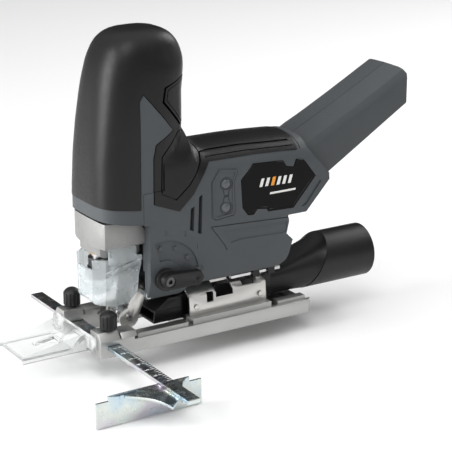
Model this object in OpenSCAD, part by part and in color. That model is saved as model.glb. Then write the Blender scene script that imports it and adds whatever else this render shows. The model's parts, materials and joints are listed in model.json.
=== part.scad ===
// Cordless jigsaw with an upright barrel grip, a tilting base, a parallel fence and a line guide.
// Origin: centre of the base sole. -X is the cutting direction, -Y is the lever side, +Z is up.

/* [Base] */
// Length of the base plate
base_l = 160; // [150:1:166]
// Width of the base plate
base_w = 64; // [62:1:66]
// Height of the base rim
rim_h = 8.9; // [8:0.1:10]
// Half width of the blade opening between the two prongs
gap_half = 18; // [17.8:0.1:19]
// Radius of the cradle that the housing tilts on
cradle_r = 33.8; // [33:0.1:34]

/* [Barrel and body] */
// Top of the barrel grip
barrel_top = 199; // [196:1:204]
// Front of the barrel at its foot
barrel_front = -73; // [-74:0.5:-72]
// Back of the barrel
barrel_back = -9; // [-10:0.5:-8.5]
// Half width of the barrel and the body
half_w = 27; // [26.5:0.1:28]
// Thickness of the soft grip layer
grip_t = 1.6; // [1:0.1:2]
// Wall of the barrel and body shells
wall = 2.5; // [2:0.1:3]
// Half width of the battery arm
arm_half = 21.5; // [20:0.5:23]

/* [Drive] */
// Stroke of the plunger
stroke = 20; // [16:1:20]
// Centre line of the plunger
plunger_x = -63.5; // [-63.6:0.1:-63.2]
// Radius of the plunger
plunger_r = 4.5; // [4:0.1:4.6]
// Vertical axis of the motor
motor_x = -41.3; // [-41.3:0.1:-41.3]
// Teeth on the crown wheel
crown_teeth = 40; // [40:1:40]
// Teeth on the motor pinion
pinion_teeth = 10; // [10:1:10]
// Running clearance of shafts in their holes
run_fit = 0.05; // [0.02:0.01:0.09]

/* [Dust and fence] */
// Outer radius of the dust tube
tube_r = 18.3; // [18:0.1:18.6]
// Wall of the dust tube
tube_wall = 2; // [1.5:0.1:2.5]
// Length of the fence bar
bar_l = 207; // [190:1:210]
// Width of the fence bar
bar_w = 8.5; // [8:0.1:8.6]
// Length of the fence plate
fence_l = 71; // [60:1:74]

/* [Hidden] */
$fn = 48;
base_front = -base_l / 2;
base_back = base_l / 2;
base_half = base_w / 2;
gap_back = -12;
prong_back = -56;
prong_h = 10.9;
cap_h = 16;
bar_x = -75;
bar_z = 5.4;
bar_t = 2.4;
bar_y = -128.5;
knob_x = -70.75;
knob_y = 25;
knob_r = 5.5;
fence_y = -94;
fence_mid_x = -80.5;
barrel_lean = 9.5;
// Steps back and heights of the front of the barrel, from the top down
barrel_lines = [[7.6, 172], [5.5, 163], [2.6, 141], [0.8, 122], [0, 98]];
barrel_foot = 80;
dome_r = 24;
dome_z = barrel_top - dome_r;
body_top = 120.5;
nose_half = 20;
neck_half = 13.4;
crown_x = -50;
crown_z = 82.5;
crown_r = 14.5;
crown_pitch_r = 12;
crown_face_x = crown_x + 5;
pinion_z = crown_z + crown_pitch_r - 2;
pinion_tip_r = 3.2;
yoke_z = crown_z + stroke / 2;
bush_z = pinion_z + 5.5;
bush_r = 6.3;
plate_z = pinion_z + 9;
can_z = plate_z + 15;
rotor_r = 12.8;
can_r = 15.5;
shaft_r = 2.5;
lever_x = -31;
lever_z = 42.5;
pivot_x = -40;
pivot_z = 31.5;
roller_x = -47.6;
roller_z = 14;
roller_r = 5.2;
button_x = 14.5;
button_z = [97.6, 82];
button_r = 3.4;
tube_z = 23.9;
tube_end = 141.5;
// Seat of the screw heads on the right side
head_y = 18.8;
screws = [[-61, 131], [-23, 175.5], [10, 56], [52, 42], [50, 108], [80, 95]];

function arc(cx, cy, r, a0, a1, n) =
    [for (i = [0:n]) let (a = a0 + (a1 - a0) * i / n) [cx + r * cos(a), cy + r * sin(a)]];
function mirror_x(p) = [for (i = [len(p) - 1:-1:0]) [-p[i][0], p[i][1]]];
function unit(v) = v / norm(v);
function side(p, i) = let (d = unit(p[(i + 1) % len(p)] - p[i])) [-d[1], d[0]];
// Outline moved inwards by d, for an outline that runs counter-clockwise
function inset(p, d) = [for (i = [0:len(p) - 1])
    let (a = side(p, (i + len(p) - 1) % len(p)), b = side(p, i))
    p[i] + (a + b) * d / (1 + a * b)];

// An outline in X and Z, given depth from y0 to y1
module xz(points, y0, y1) {
    translate([0, y1, 0]) rotate([90, 0, 0]) linear_extrude(y1 - y0) polygon(points);
}
// An outline in Y and Z, given depth from x0 to x1
module yz(points, x0, x1) {
    translate([x0, 0, 0]) rotate([90, 0, 90]) linear_extrude(x1 - x0) polygon(points);
}
module box(x0, x1, y0, y1, z0, z1) {
    translate([x0, y0, z0]) cube([x1 - x0, y1 - y0, z1 - z0]);
}
module bar_x(y, z, r, x0, x1) {
    translate([x0, y, z]) rotate([0, 90, 0]) cylinder(h = x1 - x0, r = r);
}
module bar_y(x, z, r, y0, y1) {
    translate([x, y1, z]) rotate([90, 0, 0]) cylinder(h = y1 - y0, r = r);
}
module bar_z(x, y, r, z0, z1) {
    translate([x, y, z0]) cylinder(h = z1 - z0, r = r);
}
module both_sides() {
    children();
    mirror([0, 1, 0]) children();
}
module left_half() {
    intersection() {
        children();
        box(-200, 250, -60, 0, -40, 260);
    }
}

// ---- Outer shape of the barrel and the body ----
barrel_mid_x = (barrel_front + barrel_back) / 2;
barrel_half_l = (barrel_back - barrel_front) / 2;
function barrel_outline(i) = concat(
    [[barrel_back - i, barrel_foot + i]],
    arc(barrel_back - dome_r, dome_z, dome_r - i, 0, 90, 10),
    arc(barrel_front + barrel_lean + dome_r, dome_z, dome_r - i, 90, 165, 9),
    [for (p = barrel_lines) [barrel_front + p[0] + i, p[1]]],
    [[barrel_front + i, barrel_foot + i]]);
function barrel_section(i) = concat([[half_w - i, barrel_foot + i], [half_w - i, 150]],
    arc(half_w - 2.4 - dome_r, dome_z, dome_r - i, 0, 90, 8));

module barrel_solid(i) {
    corner = 20;
    l = barrel_half_l - corner;
    w = half_w - 0.4 - corner;
    intersection() {
        translate([barrel_mid_x, 0, 60]) linear_extrude(160) polygon([for (q = [0:3])
            each arc((q == 0 || q == 3 ? l : -l), (q < 2 ? w : -w), corner - i,
                90 * q, 90 * q + 90, 6)]);
        xz(barrel_outline(i), -40, 40);
        yz(concat(barrel_section(i), mirror_x(barrel_section(i))), -100, 20);
    }
}

body_outline = concat(
    [[-45, 80], [-41, 76], [-44, 56], [-48, 30], [-46.5, 28.6], [-17, 28.6], [-11, 34.4],
     [57, 34.4], [62, 38], [66.5, 51.6], [61.5, 56.5], [63.5, 69], [77, 69], [95.3, 88.5],
     [95, 93], [79, 112]],
    arc(72, body_top - 6, 6, 0, 90, 3),
    arc(barrel_back + 9, body_top + 9, 9, 270, 180, 4),
    [[-30, body_top + 9], [-30, 100], [-45, 100]]);
crown_corner = 18;
function body_section(i) = concat(
    [[20 - i, 26 + i], [23 - i, 30 + i], [half_w - i, 42 + i]],
    arc(half_w - crown_corner, body_top - crown_corner, crown_corner - i, 0, 90, 6));

module body_solid(i) {
    intersection() {
        xz(inset(body_outline, i), -40, 40);
        yz(concat(body_section(i), mirror_x(body_section(i))), -100, 120);
    }
}
module shell_solid(i) {
    barrel_solid(i);
    body_solid(i);
}

// Side view of the places that carry the soft grip, with the bare strip cut out
module grip_zone() {
    difference() {
        xz([[-90, 97], [-71, 93.4], [-47.5, 90], [-43, 92.6], [-39, 92.5], [-20.9, 86],
            [-2, 121], [41.6, 118.4], [47.7, 117.8], [69.6, 112], [75, 124.5], [75, 215],
            [-90, 215]], -50, 50);
        xz([[-46, 84], [-38.8, 84], [-37.2, 121], [-37, 131.1], [-24.3, 138.1],
            [-43.4, 159], [-47.5, 161], [-46.6, 122]], -50, 50);
    }
}
module trigger_window() {
    xz([[-31.2, 165.2], [-32.4, 156], [-18.6, 139.8], [10, 139.8], [10, 169.4], [-18.6, 169.4]],
        -50, 50);
}
module grip_skin() {
    difference() {
        intersection() {
            shell_solid(0);
            grip_zone();
        }
        shell_solid(grip_t);
        trigger_window();
    }
}
module grip_left() {
    color([0.13, 0.13, 0.13]) left_half() grip_skin();
}
module grip_right() {
    color([0.13, 0.13, 0.13]) mirror([0, 1, 0]) left_half() grip_skin();
}

hollow_outline = [[-41, 84], [-36, 79], [-34, 58], [-34, 34], [-15.5, 33], [-9, 38.8], [56, 38.8],
    [58, 42], [61.5, 51], [57.2, 56.5], [59.5, 73], [75, 73], [90.5, 90], [76, 108], [73, 116.3],
    [-1, 116.3], [-13, 122], [-30, 126], [-30, 100], [-41, 100]];
module hollow() {
    barrel_solid(grip_t + wall);
    intersection() {
        xz(hollow_outline, -40, 40);
        yz(concat(body_section(grip_t + wall), mirror_x(body_section(grip_t + wall))), -100, 120);
    }
}
module boss_walls() {
    intersection() {
        union() {
            for (s = screws) bar_y(s[0], s[1], 3.6, -40, 40);
            box(-72, -58, -12, 12, bush_z - 0.5, bush_z + 8.5);
            box(-57, -24, -26, 26, plate_z, plate_z + 6);
        }
        shell_solid(grip_t);
    }
}
module housing_half() {
    left_half() difference() {
        union() {
            difference() {
                shell_solid(0);
                intersection() {
                    grip_zone();
                    difference() {
                        shell_solid(-0.5);
                        shell_solid(grip_t);
                    }
                }
                hollow();
            }
            boss_walls();
        }
        trigger_window();
        // motor plate, upper plunger bush and crank space
        box(-56.2, -24.8, -21.2, 21.2, plate_z - 0.1, plate_z + 6.1);
        bar_z(plunger_x, 0, bush_r, bush_z - 2, bush_z + 8.5);
        bar_z(plunger_x, 0, plunger_r + 0.3, bush_z, 126);
        box(-70.5, -28, -16.2, 16.2, 76, pinion_z + 4.9);
        box(-41.5, -28, -16.2, 16.2, 58, crown_z + 11.5);
        // nose seat and the fork that holds the roller bracket
        nose_solid(0);
        box(-60, -38, -gap_half + 0.5, gap_half - 0.5, 20, 66.8);
        box(-60, -35.5, -gap_half + 0.5, gap_half - 0.5, 20, 44);
        bar_x(0, 49, 3, -40, -35.4);
        bar_y(pivot_x, pivot_z, 2, -30, 30);
        // cradle and clamp screw
        bar_x(0, 0, cradle_r + 0.3, -14, 70);
        bar_z(18, 0, 2.5, 20, 46);
        for (s = screws) bar_y(s[0], s[1], 1.6, -22, 40);
    }
}
module housing_left() {
    color([0.31, 0.33, 0.345]) difference() {
        housing_half();
        button_pocket(0);
        for (z = button_z) bar_y(button_x, z, button_r + run_fit, -40, -15);
        bar_y(lever_x, lever_z, 4 + run_fit, -40, -15);
        badge_cut(0);
        for (v = [0, 1]) box(-9.5 + 6 * v, -7.6 + 6 * v, -40, -20, 68 - v, 84 + 6 * v);
    }
}
module housing_right() {
    color([0.31, 0.33, 0.345]) mirror([0, 1, 0]) difference() {
        housing_half();
        badge_cut(0);
        for (v = [0, 1]) box(-9.5 + 6 * v, -7.6 + 6 * v, -40, -20, 68 - v, 84 + 6 * v);
        for (s = screws) bar_y(s[0], s[1], 3.1, -40, -head_y);
    }
}

badge_outline = [[27.5, 76.5], [44, 75.5], [46, 73.8], [66, 73.2], [84, 91], [84, 93.5], [74, 105.4],
    [69, 106.5], [66, 103.5], [61, 103.5], [57, 107.6], [33, 109], [25, 98]];
module badge_cut(i) {
    xz(inset(badge_outline, i), -40, -half_w + 1.2);
}
module badge_plates() {
    color([0.02, 0.02, 0.02]) both_sides() intersection() {
        badge_cut(0.15);
        box(0, 100, -half_w - 0.3, 0, 60, 120);
    }
}
panel_outline = [[6.9, 74.7], [20.6, 76.3], [20.8, 98], [23.4, 104.5], [22.4, 106.8], [9.4, 108.3],
    [3.4, 100.4], [3.8, 77]];
module button_pocket(i) {
    xz(inset(panel_outline, i), -40, -half_w + 1.2);
}
module button_panel() {
    color([0.2, 0.21, 0.22]) difference() {
        intersection() {
            button_pocket(0.15);
            box(0, 30, -half_w - 0.2, 0, 60, 120);
        }
        for (z = button_z) bar_y(button_x, z, button_r + run_fit, -40, -15);
    }
}
module push_button(z) {
    bar_y(button_x, z, button_r, -half_w - 1.2, -half_w + 5);
    bar_y(button_x, z, 1.4, -half_w - 1.2, -18);
}
module upper_button() {
    color([0.25, 0.26, 0.27]) push_button(button_z[0]);
}
module lower_button() {
    color([0.25, 0.26, 0.27]) push_button(button_z[1]);
}

// ---- Battery arm ----
arm_outline = [[95.3, 88.5], [102.4, 94.4], [165.6, 132.6], [160.6, 156.6], [101.5, 129.7],
    [77.5, 118], [79, 112], [95, 93]];
channel_half = 15.5;
arm_a = [102.4, 94.4];
arm_u = [0.855, 0.518];
arm_n = [-0.518, 0.855];
function on_arm(along, up) = arm_a + along * arm_u + up * arm_n;
module arm_crown() {
    rise = 4.5;
    crown_r = (arm_half * arm_half + rise * rise) / (2 * rise);
    half_a = asin(arm_half / crown_r);
    translate([104.5, 0, 123.7]) rotate([0, -25.2, 0])
        yz(concat([[-arm_half, -60], [arm_half, -60]],
            arc(0, rise - crown_r, crown_r, 90 - half_a, 90 + half_a, 8)), -60, 90);
}
module arm_half_shell() {
    left_half() difference() {
        intersection() {
            xz(arm_outline, -arm_half, arm_half);
            arm_crown();
        }
        // slot for the battery shoe, open below and at the end
        xz([on_arm(3, -8), on_arm(90, -8), on_arm(90, 9), on_arm(3, 9)], -channel_half, 1);
        // space for the leads
        xz([on_arm(-14, 11.5), on_arm(50, 11.5), on_arm(50, 14), on_arm(-14, 21)],
            -arm_half + 2.5, 1);
        // rounded end
        difference() {
            box(120, 200, -40, 40, 120, 170);
            translate([68, 0, 80]) cylinder(h = 100, r = 98, $fn = 240);
        }
    }
}
module arm_left() {
    color([0.26, 0.28, 0.29]) arm_half_shell();
}
module arm_right() {
    color([0.26, 0.28, 0.29]) mirror([0, 1, 0]) arm_half_shell();
}
module battery_rails() {
    color([0.09, 0.09, 0.1]) difference() {
        union() {
            both_sides() xz([on_arm(3.2, 1), on_arm(66, 1), on_arm(66, 3.5), on_arm(3.2, 3.5)],
                -channel_half, -channel_half + 3);
            xz([on_arm(3.2, 4), on_arm(14, 4), on_arm(14, 8.8), on_arm(3.2, 8.8)], -11, 11);
        }
        for (y = [-7, 0, 7]) xz([on_arm(6, 5), on_arm(15, 5), on_arm(15, 8), on_arm(6, 8)],
            y - 0.5, y + 0.5);
    }
}
module battery_contacts() {
    color([0.8, 0.62, 0.25]) for (y = [-7, 0, 7])
        xz([on_arm(6, 5), on_arm(22, 5), on_arm(22, 8), on_arm(6, 8)], y - 0.5, y + 0.5);
}

// ---- Nose, plunger and blade clamp ----
nose_outline = [[-76, 63.5], [-70, 60.5], [-66, 58.5], [-50, 58.5], [-44, 57], [-41.2, 59],
    [-41.2, 76.2], [-45.2, 80], [-60, 82.5], [-76, 86]];
module nose_solid(i) {
    intersection() {
        xz(inset(nose_outline, i), -40, 40);
        union() {
            nose_plan(nose_half - i, 66.2);
            nose_plan(neck_half - i, 50);
        }
    }
}
module nose_plan(half, foot) {
    front = barrel_front - 0.4;
    translate([0, 0, foot]) linear_extrude(60) polygon(concat([[-30, half]],
        arc(front + 13, half - 13, 13, 90, 180, 8), arc(front + 13, 13 - half, 13, 180, 270, 8),
        [[-30, -half]]));
}
module nose_casting() {
    color([0.6, 0.6, 0.58]) difference() {
        nose_solid(0);
        box(-70.5, -43, -16, 16, 67.7, 100);
        bar_z(plunger_x, 0, bush_r, 50, 70);
    }
}
module plunger_bushes() {
    color([0.72, 0.55, 0.3]) for (z = [58.8, bush_z]) difference() {
        bar_z(plunger_x, 0, bush_r, z, z + 8);
        bar_z(plunger_x, 0, plunger_r + run_fit, z - 1, z + 10);
    }
}
module plunger_rod() {
    color([0.75, 0.76, 0.78]) bar_z(plunger_x, 0, plunger_r, 50, 124);
}
module scotch_yoke() {
    color([0.55, 0.56, 0.58]) difference() {
        union() {
            box(-57.6, -55.4, -13.5, 13.5, yoke_z - 4.5, yoke_z + 4.5);
            box(-60, -55.4, -5, 5, yoke_z - 3.5, yoke_z + 3.5);
        }
        box(-56.9, -50, -11.5, 11.5, yoke_z - 2.3, yoke_z + 2.3);
        bar_z(plunger_x, 0, plunger_r, 80, 110);
    }
}
module blade_clamp() {
    color([0.12, 0.12, 0.13]) difference() {
        union() {
            bar_z(plunger_x, 0, 6.6, 42, 56);
            bar_z(plunger_x, 0, 7.3, 44, 50);
            box(plunger_x - 8, plunger_x, -3, 3, 45, 49);
        }
        bar_z(plunger_x, 0, plunger_r, 50, 60);
        box(plunger_x - 4.3, plunger_x + 4.3, -0.85, 0.85, 40, 48);
    }
}

// ---- Motor and crown wheel ----
module motor_can() {
    color([0.45, 0.46, 0.48]) difference() {
        bar_z(motor_x, 0, can_r, can_z, can_z + 48);
        bar_z(motor_x, 0, rotor_r + 0.7, can_z - 1, can_z + 45);
        bar_z(motor_x, 0, 6.5, can_z + 30, can_z + 60);
    }
}
module motor_plate() {
    color([0.55, 0.55, 0.56]) difference() {
        box(-56, -25, -21, 21, plate_z, plate_z + 6);
        bar_z(motor_x, 0, 6.5, plate_z - 5, plate_z + 10);
    }
}
module shaft_bearings() {
    color([0.8, 0.81, 0.83]) for (z = [plate_z + 1, can_z + 45.1]) difference() {
        bar_z(motor_x, 0, 6.5, z, z + 5);
        bar_z(motor_x, 0, shaft_r + run_fit, z - 1, z + 6);
    }
}
module rotor_shaft() {
    color([0.8, 0.81, 0.83]) bar_z(motor_x, 0, shaft_r, pinion_z + 4.4, can_z + 53);
    color([0.8, 0.81, 0.83]) bar_z(motor_x, 0, 1.5, pinion_z - 0.2, pinion_z + 4.4);
}
module rotor_core() {
    color([0.5, 0.35, 0.2]) difference() {
        bar_z(motor_x, 0, rotor_r, can_z + 4, can_z + 38);
        bar_z(motor_x, 0, shaft_r, can_z, can_z + 60);
        for (a = [0:60:300]) translate([motor_x, 0, can_z]) rotate(a) translate([rotor_r, 0, 0])
            cylinder(h = 50, r = 1.2);
    }
}
module motor_fan() {
    color([0.15, 0.15, 0.16]) difference() {
        union() {
            bar_z(motor_x, 0, 5, plate_z + 7, plate_z + 13.5);
            bar_z(motor_x, 0, 14, plate_z + 12.3, plate_z + 13.5);
            for (a = [0:40:320]) translate([motor_x, 0, plate_z + 7.5]) rotate(a) translate([4, -0.5, 0])
                cube([10, 1, 5]);
        }
        bar_z(motor_x, 0, shaft_r, plate_z, plate_z + 20);
    }
}
module motor_pinion() {
    color([0.7, 0.7, 0.72]) difference() {
        union() {
            bar_z(motor_x, 0, 2.1, pinion_z, pinion_z + 4);
            for (k = [0:pinion_teeth - 1]) translate([motor_x, 0, pinion_z])
                rotate(180 + k * 360 / pinion_teeth) linear_extrude(4)
                polygon([[1.8, -0.45], [pinion_tip_r, -0.22], [pinion_tip_r, 0.22], [1.8, 0.45]]);
        }
        bar_z(motor_x, 0, 1.5, pinion_z - 5, pinion_z + 10);
    }
}
module crown_wheel() {
    pitch = 360 / crown_teeth;
    color([0.62, 0.62, 0.64]) difference() {
        union() {
            bar_x(0, crown_z, crown_r, crown_x, crown_face_x);
            for (k = [0:crown_teeth - 1]) translate([0, 0, crown_z]) rotate([(k + 0.5) * pitch, 0, 0])
                box(crown_face_x - 0.5, crown_face_x + 1.4, -0.28, 0.28, crown_pitch_r - 0.8,
                    crown_pitch_r + 2);
        }
        bar_x(0, crown_z, 3 + run_fit, crown_x - 5, crown_face_x + 5);
        bar_x(0, crown_z + stroke / 2, 2, crown_x - 5, crown_x + 4);
    }
}
module crank_pin() {
    color([0.8, 0.81, 0.83]) bar_x(0, crown_z + stroke / 2, 2, crown_x - 4.8, crown_x + 4);
}
module wheel_axle() {
    color([0.8, 0.81, 0.83]) bar_x(0, crown_z, 3, crown_x - 1, -31);
}
module wheel_carrier() {
    color([0.5, 0.5, 0.52]) difference() {
        box(-37, -31, -16, 16, crown_z - 9, crown_z + 8.5);
        bar_x(0, crown_z, 3, -40, -20);
    }
}

// ---- Electrics and small parts in the body ----
module circuit_board() {
    color([0.1, 0.3, 0.16]) box(2, 56, -12, -10.4, 62, 100);
    color([0.12, 0.12, 0.13]) box(12, 34, -10.4, -4, 66, 92);
}
module switch_module() {
    color([0.12, 0.12, 0.13]) box(-24.4, -15, -8, 8, 112, 122.5);
    color([0.12, 0.12, 0.13]) box(-21.5, -16.5, -2, 2, 122.5, 138.6);
}
module trigger() {
    color([0.2, 0.2, 0.2]) difference() {
        intersection() {
            shell_solid(-0.8);
            xz([[-28, 164.4], [-29.4, 156.4], [-15, 140.6], [5, 140.6], [5, 168.4],
                [-16, 168.4]], -50, 50);
        }
        barrel_solid(4.6);
    }
    color([0.2, 0.2, 0.2]) box(-21, -13.3, -5, 5, 146, 160);
}
module work_light() {
    color([0.9, 0.95, 1]) bar_x(0, 49, 3, -39, -35.4);
}
module housing_screws() {
    color([0.4, 0.41, 0.43]) for (s = screws) difference() {
        union() {
            bar_y(s[0], s[1], 1.6, -18, head_y + 1);
            bar_y(s[0], s[1], 3, head_y, head_y + 2.5);
        }
        bar_y(s[0], s[1], 1.4, head_y + 1.2, head_y + 3);
    }
}
module key_clip() {
    color([0.1, 0.1, 0.11]) for (x = [38, 50]) difference() {
        box(x, x + 5, -23, -17.4, 29.4, 34.4);
        bar_x(-20, 31.6, 1.75, x - 1, x + 6);
    }
}
module hex_key() {
    color([0.75, 0.76, 0.78]) {
        translate([22, -20, 31.6]) rotate([0, 90, 0]) cylinder(h = 38, r = 1.7, $fn = 6);
        translate([58.4, -20, 31.6]) rotate([-90, 0, 0]) cylinder(h = 14, r = 1.7, $fn = 6);
    }
}
module clamp_screw() {
    color([0.6, 0.61, 0.63]) difference() {
        union() {
            bar_z(18, 0, 2.5, 27, 45.8);
            bar_z(18, 0, 4.6, 26.6, 31.4);
        }
        translate([18, 0, 26]) cylinder(h = 3.4, r = 2.3, $fn = 6);
    }
}

// ---- Pendulum lever, roller bracket and guard ----
module pendulum_lever() {
    color([0.1, 0.1, 0.11]) difference() {
        union() {
            bar_y(lever_x, lever_z, 4, -half_w - 3, -19);
            bar_y(lever_x, lever_z, 7.3, -half_w - 3, -half_w - 0.3);
            xz(concat(arc(lever_x, lever_z, 5, 90, 270, 8), [[-10, 37.3], [-6.5, 41.8], [-9, 46.4]]),
                -half_w - 8, -half_w - 2.6);
        }
        bar_y(lever_x, lever_z, 2.2, -half_w - 9, -22);
        bar_y(lever_x, lever_z, 3.4, -half_w - 9, -half_w - 5);
        translate([-11, -half_w - 9, 42]) sphere(r = 1.9);
    }
}
module lever_screw() {
    color([0.3, 0.3, 0.31]) difference() {
        union() {
            bar_y(lever_x, lever_z, 2.2, -half_w - 6, -22);
            bar_y(lever_x, lever_z, 3.4, -half_w - 7.2, -half_w - 5);
        }
        translate([lever_x, -half_w - 5.4, lever_z]) rotate([90, 0, 0])
            cylinder(h = 4, r = 1.6, $fn = 6);
    }
}
module roller_bracket() {
    color([0.7, 0.71, 0.73]) difference() {
        union() {
            both_sides() {
                xz([[-43.6, 37], [-36.4, 37], [-36.8, 24], [-42, 11], [-47, 8.2], [-53.2, 12],
                    [-53.4, 17], [-48, 20.6]], -9.6, -7.9);
                bar_y(roller_x, roller_z, 6.8, -9.6, -7.9);
            }
            box(-38.6, -36.7, -9, 9, 25, 36.9);
        }
        bar_y(pivot_x, pivot_z, 2 + run_fit, -20, 20);
        bar_y(roller_x, roller_z, 2, -20, 20);
    }
}
module roller_pin() {
    color([0.8, 0.81, 0.83]) difference() {
        bar_y(roller_x, roller_z, 2, -10.6, 10.6);
        both_sides() box(-48.1, -47.1, -11, -10, 11.5, 16.5);
    }
}
module bracket_pin() {
    color([0.8, 0.81, 0.83]) bar_y(pivot_x, pivot_z, 2, -22.6, 22.6);
}
module guide_roller() {
    color([0.72, 0.73, 0.75]) translate([roller_x, 0, roller_z]) rotate([90, 0, 0]) rotate_extrude()
        polygon([[2 + run_fit, -7.2], [roller_r, -7.2], [roller_r, -1.6], [roller_r - 1.4, -0.8],
            [roller_r - 1.4, 0.8], [roller_r, 1.6], [roller_r, 7.2], [2 + run_fit, 7.2]]);
}
guard_side = [[-76.4, 57.8], [-76, 38], [-73.4, 33], [-68, 28], [-59, 25.6], [-50, 25.6],
    [-45, 31], [-42.6, 42], [-41, 55], [-44, 56.5], [-45, 63.5], [-62, 63.5], [-64, 57.8]];
module guard_plan(half, front) {
    translate([0, 0, 20]) linear_extrude(60) polygon([[-30, -half], [-30, half],
        [front + 10, half], [front, half - 8], [front, 8 - half], [front + 10, -half]]);
}
module blade_guard() {
    color([0.85, 0.9, 0.9, 0.5]) difference() {
        intersection() {
            xz(guard_side, -30, 30);
            guard_plan(15.6, -75);
        }
        guard_plan(13.8, -73.4);
    }
}

// ---- Base, cradle and dust path ----
module base_plate() {
    color([0.66, 0.67, 0.68]) difference() {
        union() {
            box(base_front, base_back, -base_half, base_half, 0, 4);
            both_sides() {
                box(base_front, base_back, -base_half, -base_half + 3.4, 0, rim_h);
                box(base_front, prong_back, -base_half, -gap_half, 0, prong_h);
                yz([[-base_half, prong_h], [-base_half + 4, cap_h], [-gap_half - 0.5, cap_h],
                    [-gap_half, prong_h]], base_front, bar_x + bar_w + 0.4);
                yz([[-base_half, prong_h], [-base_half + 3, 14], [-gap_half - 0.5, 14],
                    [-gap_half, prong_h]], bar_x + bar_w + 1.6, prong_back + 2);
                box(prong_back, gap_back, -gap_half - 3, -gap_half, 0, rim_h);
                box(prong_back + 3, -16, -base_half + 1.5, -base_half + 7, 0, 11.5);
                box(gap_back, 48, -base_half + 2, -20.4, 0, 12.6);
                box(54, 76, -base_half + 3.4, -22.5, 0, 11);
            }
            box(76, base_back, -base_half, base_half, 0, 6);
            box(gap_back, gap_back + 5, -base_half, base_half, 0, rim_h);
        }
        box(base_front - 1, gap_back, -gap_half, gap_half, -1, 30);
        // slot for the fence bar and holes for the knobs
        box(bar_x - 0.15, bar_x + bar_w + 0.15, -60, 60, bar_z - 0.15, bar_z + bar_t + 0.2);
        for (y = [-knob_y, knob_y]) bar_z(knob_x, y, 2.5 + run_fit, 5, 30);
        // rim corners
        both_sides() translate([base_back, -base_half, -1]) rotate(45)
            cube([5, 5, 40], center = true);
    }
}
cradle_foot = 12.6;
cradle_y = 24.4;
module cradle_bracket() {
    t = 1.5;
    a = 43.6;
    outer = arc(0, 0, cradle_r, 90 - a, 90 + a, 12);
    inner = arc(0, 0, cradle_r - t, 90 + a, 90 - a, 12);
    color([0.8, 0.8, 0.8]) difference() {
        yz(concat([[cradle_y, cradle_foot]], [for (p = outer) [max(-cradle_y, min(cradle_y, p[0])), p[1]]],
            [[-cradle_y, cradle_foot], [-cradle_y + t, cradle_foot]],
            [for (p = inner) [max(-cradle_y + t, min(cradle_y - t, p[0])), p[1]]],
            [[cradle_y - t, cradle_foot]]), -11, 47.5);
        both_sides() {
            box(9, 22, -23.6, -15, 20, 40);
            box(30, 39, -22.5, -15, 20, 40);
            box(2, 7, -26, -20.5, 19, 25.5);
        }
        box(15.4, 20.6, -7.5, 7.5, 20, 40);
    }
    color([0.8, 0.8, 0.8]) both_sides() for (x = [-6, 43])
        bar_y(x, 17.5, 1.8, -cradle_y - 0.8, -cradle_y);
}
module dust_duct() {
    color([0.08, 0.08, 0.09]) difference() {
        union() {
            box(-34, -12.2, -17.2, 17.2, 9.4, 25);
            box(-12.2, 58, -13.5, 13.5, 9.4, 25);
        }
        box(-40, -14, -15.6, 15.6, 11, 23.4);
        box(-20, 60, -11.9, 11.9, 11, 23.4);
    }
}
// Flared neck between the flat duct and the round tube, t inside the outer surface
module tube_neck(t) {
    intersection() {
        xz([[57, 9.4 + t], [66, 9.4 + t], [84, 5.4 + t], [113, 5.4 + t], [113, 42.3 - t],
            [107, 42.3 - t], [92, 38 - t], [78, 31.5 - t], [66, 26 - t], [57, 25 - t]], -40, 40);
        linear_extrude(80) polygon([[58 - t, -13.5 + t], [66, -13.8 + t], [98, -tube_r + t],
            [112, -tube_r + t], [112, tube_r - t], [98, tube_r - t], [66, 13.8 - t],
            [58 - t, 13.5 - t]]);
        bar_x(0, tube_z, tube_r - 1.3 * t, 50, 120);
    }
}
module dust_tube() {
    color([0.1, 0.1, 0.11]) difference() {
        union() {
            tube_neck(0);
            bar_x(0, tube_z, tube_r, 108, tube_end);
        }
        tube_neck(tube_wall);
        bar_x(0, tube_z, tube_r - tube_wall, 110, tube_end + 1);
    }
}

// ---- Parallel fence, knobs and line guide ----
module fence_bar() {
    color([0.55, 0.57, 0.6]) difference() {
        box(bar_x, bar_x + bar_w, bar_y, bar_y + bar_l, bar_z, bar_z + bar_t);
        bar_z(-70.75, -119, 1.6, 0, 20);
        bar_z(-70.75, -99, 1.6, 0, 20);
    }
}
module fence_plate() {
    top = bar_z;
    color([0.62, 0.66, 0.7]) difference() {
        union() {
            xz([[fence_mid_x - fence_l / 2, -13.5], [fence_mid_x + fence_l / 2, -13.5],
                [fence_mid_x + fence_l / 2, 2.4], [-53.5, 2.4], [-53.5, top], [-108, top],
                [-108, 2.4], [fence_mid_x - fence_l / 2, 2.4]], fence_y, fence_y + 1.6);
            translate([0, 0, top - 1.6]) linear_extrude(1.6) polygon(concat(
                [[-53.5, fence_y + 1.6], [-108, fence_y + 1.6]],
                arc(-117, -126.4, 33.3, 74, 0, 8), arc(-46.3, -110.6, 18.8, 172, 112, 4)));
        }
        bar_z(-70.75, -119, 1.6, 0, 20);
        bar_z(-70.75, -99, 1.6, 0, 20);
        bar_z(-101, fence_y - 3.5, 1.6, 0, 20);
    }
}
module fence_rivets() {
    color([0.75, 0.76, 0.78]) for (y = [-119, -99]) {
        bar_z(-70.75, y, 1.6, bar_z - 1.6, bar_z + bar_t);
        bar_z(-70.75, y, 2.6, bar_z - 2.5, bar_z - 1.6);
    }
}
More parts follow.
